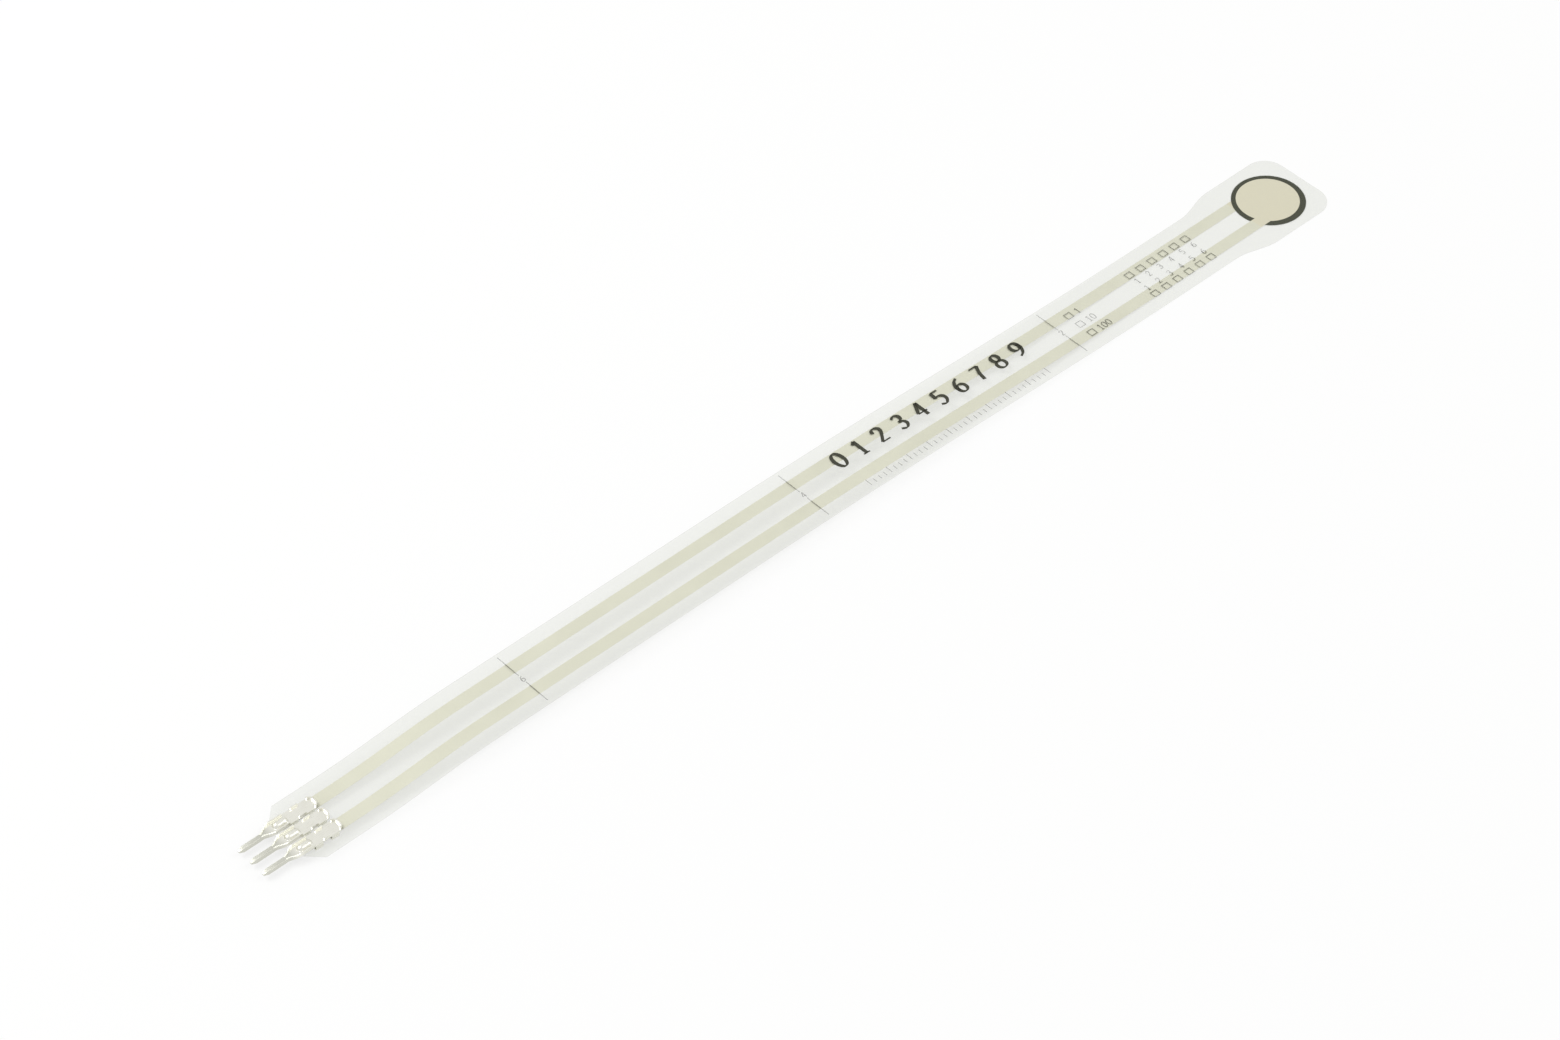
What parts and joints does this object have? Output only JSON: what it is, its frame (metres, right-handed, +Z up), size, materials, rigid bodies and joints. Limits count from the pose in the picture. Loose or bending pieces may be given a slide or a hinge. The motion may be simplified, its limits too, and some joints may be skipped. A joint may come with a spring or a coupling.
{
  "type": "force sensing resistor",
  "caption": "Thin-film force sensor: a round pressure-sensitive disc in the wide head of a long flexible film strip, with crimped square pins at its tail.",
  "frame": {"origin": "centre of the round sensing disc, on the underside of the head, which is the surface that the strip lies on", "axes": "+X along the strip, away from the pins and towards the end of the head; +Y across the strip; +Z up, out of the printed side"},
  "size_m": [0.1978, 0.0144, 0.0021],
  "materials": {
    "polyester_film": "clear, slightly milky polyester film",
    "adhesive": "clear laminating adhesive",
    "silver_ink": "matt screen-printed silver, warm grey through the film",
    "sensing_ink": "matt near-black pressure-sensitive ink",
    "tinned_metal": "bright tin plating on formed sheet",
    "legend_ink": "thin dark screen print"
  },
  "bodies": {
    "root": {"bottom_film": "polyester_film", "top_film": "polyester_film", "adhesive_spacer": "adhesive", "lower_conductor": "silver_ink", "upper_conductor": "silver_ink", "lower_sensing_ink": "sensing_ink", "upper_sensing_ink": "sensing_ink", "near_contact": "tinned_metal", "middle_contact": "tinned_metal", "far_contact": "tinned_metal", "printed_legend": "legend_ink"}
  },
  "joints": []
}
